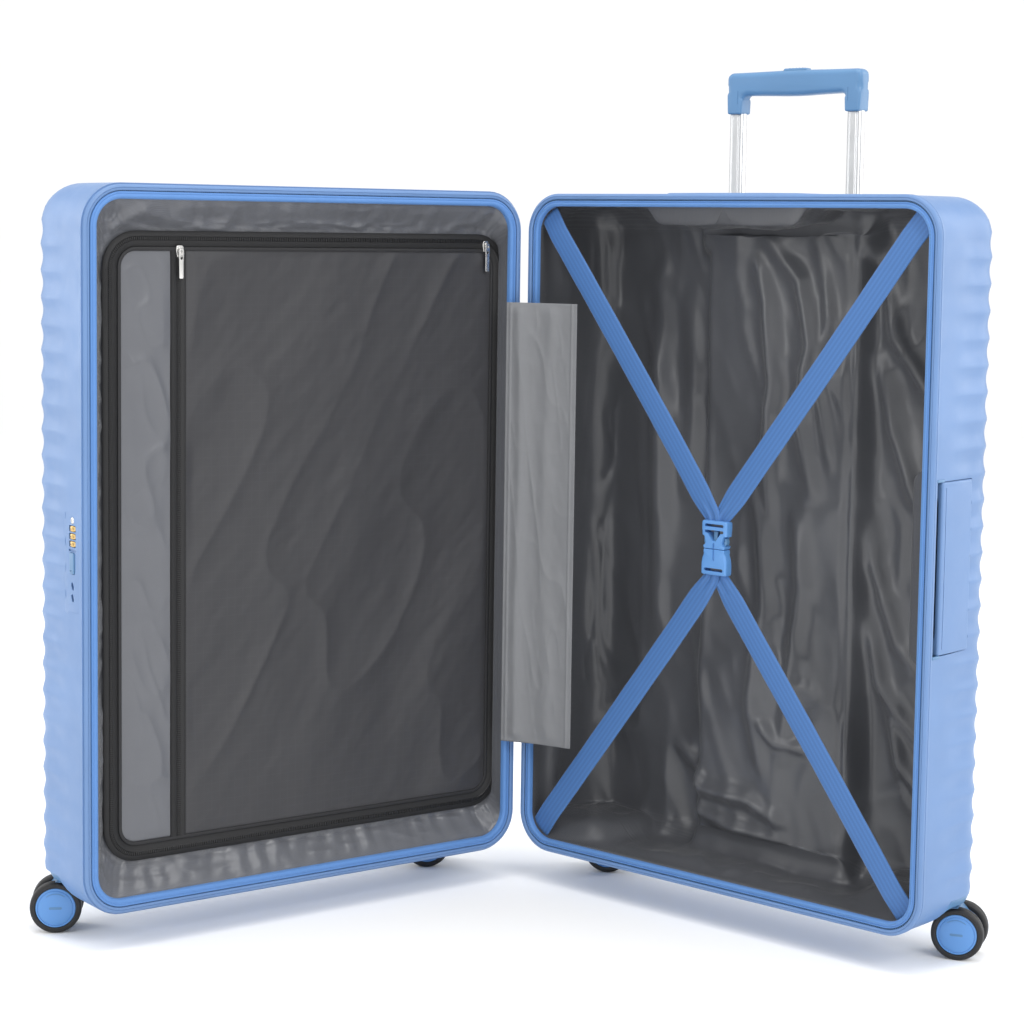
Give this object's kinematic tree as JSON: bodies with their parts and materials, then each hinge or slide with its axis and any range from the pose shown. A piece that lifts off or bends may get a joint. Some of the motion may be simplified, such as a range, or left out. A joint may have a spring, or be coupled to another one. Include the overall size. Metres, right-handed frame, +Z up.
{
  "type": "hard shell suitcase on wheels",
  "caption": "Hard shell spinner suitcase standing open like a book, with trolley handle, zipped divider, crossed straps, carry handles and combination lock.",
  "frame": {"origin": "on the floor under the middle of the open case's box", "axes": "+Z up, +X to the right along the open case, from the front shell to the back shell, -Y towards a viewer facing the two mouths"},
  "size_m": [0.969, 0.4028, 0.8826],
  "materials": {
    "shell": "satin moulded polypropylene with fine ribs",
    "trim": "satin blue moulding",
    "wheel_cap": "satin blue moulding",
    "zip_binding": "woven polyester tape",
    "lining": "grey satin polyester",
    "divider": "charcoal polyester with black zips",
    "flap": "grey satin polyester",
    "webbing": "elastic blue webbing",
    "tyre": "black polyurethane",
    "tube": "satin anodised",
    "zip_metal": "nickel plated zinc",
    "dial": "satin brass coloured",
    "black_plastic": "black moulding"
  },
  "bodies": {
    "back_shell": {"back_shell": "shell", "back_zip_tape": "zip_binding", "back_lining": "lining", "hinge_flap": "flap", "trolley_bezel": "trim", "outer_tube_left": "tube", "outer_tube_right": "tube", "trolley_foot": "black_plastic", "upper_straps": "webbing", "lower_straps": "webbing", "buckle_socket": "trim", "back_spine_caster_housing": "trim", "back_outer_caster_housing": "trim"},
    "front_shell": {"front_shell": "shell", "front_zip_tape": "zip_binding", "front_lining": "lining", "divider_panel": "divider", "lock_plate": "trim", "front_spine_caster_housing": "trim", "front_outer_caster_housing": "trim"},
    "trolley_mid": {"mid_tube_left": "tube", "mid_tube_right": "tube"},
    "trolley_top": {"inner_tube_left": "tube", "inner_tube_right": "tube", "grip": "trim"},
    "release_button": {"release_button": "trim"},
    "side_handle": {"side_handle": "trim"},
    "top_handle": {"top_handle": "trim"},
    "lock_dial_1": {"lock_dial_1": "dial"},
    "lock_dial_2": {"lock_dial_2": "dial"},
    "lock_dial_3": {"lock_dial_3": "dial"},
    "lock_button": {"lock_button": "trim"},
    "key_cylinder": {"key_cylinder": "zip_metal"},
    "pocket_slider": {"pocket_slider": "zip_metal"},
    "pocket_pull": {"pocket_pull": "zip_metal"},
    "divider_slider": {"divider_slider": "zip_metal"},
    "divider_pull": {"divider_pull": "zip_metal"},
    "main_slider_upper": {"main_slider_upper": "zip_metal"},
    "main_slider_lower": {"main_slider_lower": "zip_metal"},
    "buckle_plug": {"buckle_plug": "trim"},
    "back_spine_swivel": {"back_spine_fork": "trim"},
    "back_spine_wheel_a": {"back_spine_wheel_a_tyre": "tyre", "back_spine_wheel_a_hub": "wheel_cap"},
    "back_spine_wheel_b": {"back_spine_wheel_b_tyre": "tyre", "back_spine_wheel_b_hub": "wheel_cap"},
    "back_outer_swivel": {"back_outer_fork": "trim"},
    "back_outer_wheel_a": {"back_outer_wheel_a_tyre": "tyre", "back_outer_wheel_a_hub": "wheel_cap"},
    "back_outer_wheel_b": {"back_outer_wheel_b_tyre": "tyre", "back_outer_wheel_b_hub": "wheel_cap"},
    "front_spine_swivel": {"front_spine_fork": "trim"},
    "front_spine_wheel_a": {"front_spine_wheel_a_tyre": "tyre", "front_spine_wheel_a_hub": "wheel_cap"},
    "front_spine_wheel_b": {"front_spine_wheel_b_tyre": "tyre", "front_spine_wheel_b_hub": "wheel_cap"},
    "front_outer_swivel": {"front_outer_fork": "trim"},
    "front_outer_wheel_a": {"front_outer_wheel_a_tyre": "tyre", "front_outer_wheel_a_hub": "wheel_cap"},
    "front_outer_wheel_b": {"front_outer_wheel_b_tyre": "tyre", "front_outer_wheel_b_hub": "wheel_cap"}
  },
  "joints": [
    {"name": "lid_hinge", "type": "hinge", "parent": "back_shell", "child": "front_shell", "pos_m": [-0.00056, 0.12103, 0.39], "axis": [0, 0, 1], "range_deg": [-78, 102], "deforming": ["hinge_flap"]},
    {"name": "trolley_mid_slide", "type": "slide", "parent": "back_shell", "child": "trolley_mid", "axis": [0, 0, 1], "range_m": [0, 0.17]},
    {"name": "trolley_top_slide", "type": "slide", "parent": "trolley_mid", "child": "trolley_top", "axis": [0, 0, 1], "range_m": [-0.1285, 0.05]},
    {"name": "release_button_press", "type": "slide", "parent": "trolley_top", "child": "release_button", "axis": [0, 0, -1], "range_m": [0, 0.003], "stiffness_N_per_m": 500},
    {"name": "side_handle_pull", "type": "slide", "parent": "back_shell", "child": "side_handle", "axis": [0.7771, -0.6293, 0], "range_m": [0, 0.01], "stiffness_N_per_m": 1200},
    {"name": "top_handle_pull", "type": "slide", "parent": "back_shell", "child": "top_handle", "axis": [0, 0, 1], "range_m": [0, 0.01], "stiffness_N_per_m": 1500},
    {"name": "lock_dial_1_turn", "type": "hinge", "parent": "front_shell", "child": "lock_dial_1", "pos_m": [-0.41654, -0.18044, 0.4195], "axis": [0, 0, 1], "continuous": true},
    {"name": "lock_dial_2_turn", "type": "hinge", "parent": "front_shell", "child": "lock_dial_2", "pos_m": [-0.41654, -0.18044, 0.412], "axis": [0, 0, 1], "continuous": true},
    {"name": "lock_dial_3_turn", "type": "hinge", "parent": "front_shell", "child": "lock_dial_3", "pos_m": [-0.41654, -0.18044, 0.4045], "axis": [0, 0, 1], "continuous": true},
    {"name": "lock_button_press", "type": "slide", "parent": "front_shell", "child": "lock_button", "axis": [0.7771, 0.6293, 0], "range_m": [0, 0.0025], "stiffness_N_per_m": 400},
    {"name": "key_turn", "type": "hinge", "parent": "front_shell", "child": "key_cylinder", "pos_m": [-0.41887, -0.18232, 0.4275], "axis": [-0.7771, -0.6293, 0], "range_deg": [0, 90]},
    {"name": "pocket_slider_slide", "type": "slide", "parent": "front_shell", "child": "pocket_slider", "axis": [0, 0, -1], "range_m": [0, 0.55]},
    {"name": "pocket_pull_swing", "type": "hinge", "parent": "pocket_slider", "child": "pocket_pull", "pos_m": [-0.32745, -0.11486, 0.6904], "axis": [-0.7771, -0.6293, 0], "range_deg": [0, 150]},
    {"name": "divider_slider_slide", "type": "slide", "parent": "front_shell", "child": "divider_slider", "axis": [-0.7771, -0.6293, 0], "range_m": [0, 0.335]},
    {"name": "divider_pull_swing", "type": "hinge", "parent": "divider_slider", "child": "divider_pull", "pos_m": [-0.0403, 0.11767, 0.6974], "axis": [-0.7771, -0.6293, 0], "range_deg": [0, 150]},
    {"name": "main_slider_upper_slide", "type": "slide", "parent": "back_shell", "child": "main_slider_upper", "axis": [0, 0, 1], "range_m": [0, 0.09]},
    {"name": "main_slider_lower_slide", "type": "slide", "parent": "back_shell", "child": "main_slider_lower", "axis": [0, 0, -1], "range_m": [0, 0.088]},
    {"name": "buckle_release", "type": "slide", "parent": "back_shell", "child": "buckle_plug", "axis": [0, 0, -1], "range_m": [0, 0.03], "deforming": ["lower_straps"]},
    {"name": "back_spine_swivel_turn", "type": "hinge", "parent": "back_shell", "child": "back_spine_swivel", "pos_m": [0.08943, 0.17813, 0.0572], "axis": [0, 0, 1], "continuous": true},
    {"name": "back_spine_wheel_a_roll", "type": "hinge", "parent": "back_spine_swivel", "child": "back_spine_wheel_a", "pos_m": [0.10377, 0.17374, 0.02593], "axis": [0.2924, 0.9563, 0], "continuous": true},
    {"name": "back_spine_wheel_b_roll", "type": "hinge", "parent": "back_spine_swivel", "child": "back_spine_wheel_b", "pos_m": [0.10377, 0.17374, 0.02593], "axis": [0.2924, 0.9563, 0], "continuous": true},
    {"name": "back_outer_swivel_turn", "type": "hinge", "parent": "back_shell", "child": "back_outer_swivel", "pos_m": [0.43992, -0.1057, 0.0572], "axis": [0, 0, 1], "continuous": true},
    {"name": "back_outer_wheel_a_roll", "type": "hinge", "parent": "back_outer_swivel", "child": "back_outer_wheel_a", "pos_m": [0.45427, -0.11008, 0.02593], "axis": [0.2924, 0.9563, 0], "continuous": true},
    {"name": "back_outer_wheel_b_roll", "type": "hinge", "parent": "back_outer_swivel", "child": "back_outer_wheel_b", "pos_m": [0.45427, -0.11008, 0.02593], "axis": [0.2924, 0.9563, 0], "continuous": true},
    {"name": "front_spine_swivel_turn", "type": "hinge", "parent": "front_shell", "child": "front_spine_swivel", "pos_m": [-0.09054, 0.17813, 0.0572], "axis": [0, 0, 1], "continuous": true},
    {"name": "front_spine_wheel_a_roll", "type": "hinge", "parent": "front_spine_swivel", "child": "front_spine_wheel_a", "pos_m": [-0.10536, 0.17578, 0.02593], "axis": [0.1564, -0.9877, 0], "continuous": true},
    {"name": "front_spine_wheel_b_roll", "type": "hinge", "parent": "front_spine_swivel", "child": "front_spine_wheel_b", "pos_m": [-0.10536, 0.17578, 0.02593], "axis": [0.1564, -0.9877, 0], "continuous": true},
    {"name": "front_outer_swivel_turn", "type": "hinge", "parent": "front_shell", "child": "front_outer_swivel", "pos_m": [-0.44103, -0.1057, 0.0572], "axis": [0, 0, 1], "continuous": true},
    {"name": "front_outer_wheel_a_roll", "type": "hinge", "parent": "front_outer_swivel", "child": "front_outer_wheel_a", "pos_m": [-0.45585, -0.10804, 0.02593], "axis": [0.1564, -0.9877, 0], "continuous": true},
    {"name": "front_outer_wheel_b_roll", "type": "hinge", "parent": "front_outer_swivel", "child": "front_outer_wheel_b", "pos_m": [-0.45585, -0.10804, 0.02593], "axis": [0.1564, -0.9877, 0], "continuous": true}
  ]
}
